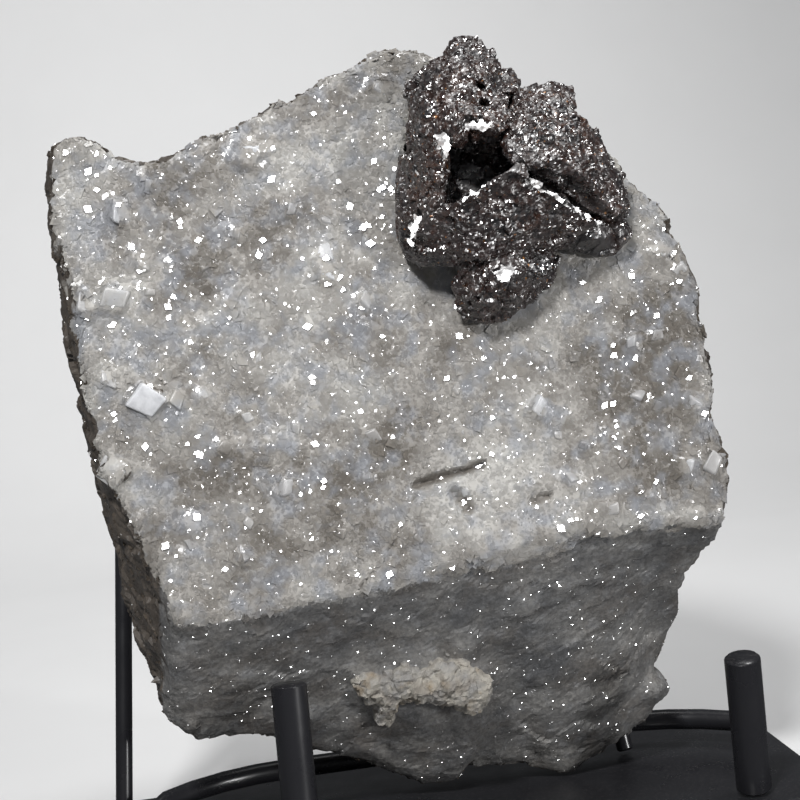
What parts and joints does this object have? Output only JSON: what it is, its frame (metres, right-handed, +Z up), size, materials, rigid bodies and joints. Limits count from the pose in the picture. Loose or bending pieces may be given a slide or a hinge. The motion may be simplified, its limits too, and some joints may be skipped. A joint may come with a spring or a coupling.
{
  "type": "sphalerite specimen",
  "caption": "Mineral specimen: dark red-brown sphalerite cluster on a pale grey dolomite druse matrix with white rhombs, leaning on a black rod stand with a flat base.",
  "frame": {"origin": "centre of the base plate's underside, the face that the stand rests on", "axes": "+Z up; the specimen's druse face looks towards -Y; +X to its right as seen from the front"},
  "size_m": [0.182, 0.0921, 0.1997],
  "materials": {
    "dolomite": "sparkling crystalline druse, rough where broken",
    "sphalerite": "brilliant, adamantine, etched crystal faces",
    "black_plate": "smooth black, slightly dusty",
    "black_rod": "glossy black"
  },
  "bodies": {
    "root": {"matrix": "dolomite", "sphalerite": "sphalerite", "base_plate": "black_plate", "front_post_left": "black_rod", "front_post_right": "black_rod", "back_upright_left": "black_rod", "back_upright_right": "black_rod", "rear_bar": "black_rod"}
  },
  "joints": []
}
